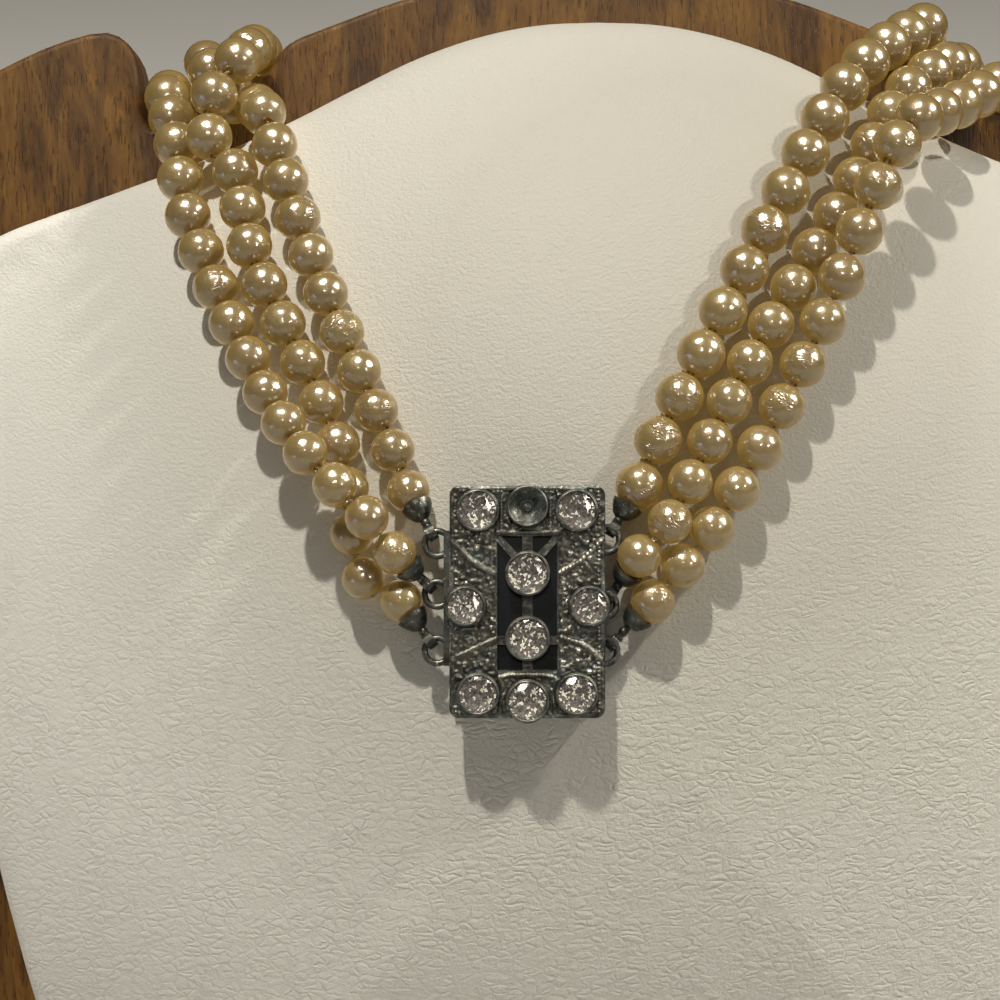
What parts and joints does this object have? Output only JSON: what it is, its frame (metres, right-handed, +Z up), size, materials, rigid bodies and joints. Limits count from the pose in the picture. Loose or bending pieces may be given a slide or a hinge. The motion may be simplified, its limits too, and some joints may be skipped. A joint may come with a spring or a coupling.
{
  "type": "multi strand necklace on a display bust",
  "caption": "Multi strand graduated pearl necklace with a stone-set box clasp, hung on a padded leatherette display bust with a notched wooden board and a flat wooden base.",
  "frame": {"origin": "middle of the underside of the wooden base", "axes": "+X to the right across the bust, +Y to the back, +Z up; the pad and clasp face -Y and the board leans back"},
  "size_m": [0.17, 0.12, 0.1571],
  "materials": {
    "pearl": "pearl coated glass bead, champagne, satin lustre",
    "thread": "fine twisted stringing thread",
    "clasp_metal": "cast plated metal, darkened with a greenish patina, worn bright on high points",
    "tip_metal": "stamped metal findings, darkened",
    "stone": "clear cut rhinestone with foiled back",
    "pad_leather": "off-white leatherette with fine creased grain",
    "board_wood": "stained wood, satin",
    "base_wood": "stained wood, satin"
  },
  "bodies": {
    "root": {"pearls_top": "pearl", "pearls_middle": "pearl", "pearls_low": "pearl", "thread_top": "thread", "thread_middle": "thread", "thread_low": "thread", "clasp_box": "clasp_metal", "clasp_tongue": "clasp_metal", "stone_top_left": "stone", "stone_top_right": "stone", "stone_side_left": "stone", "stone_side_right": "stone", "stone_mid_upper": "stone", "stone_mid_lower": "stone", "stone_low_left": "stone", "stone_low_mid": "stone", "stone_low_right": "stone", "tip_top_left": "tip_metal", "tip_middle_left": "tip_metal", "tip_low_left": "tip_metal", "tip_top_right": "tip_metal", "tip_middle_right": "tip_metal", "tip_low_right": "tip_metal", "pad": "pad_leather", "board": "board_wood", "base": "base_wood"}
  },
  "joints": []
}
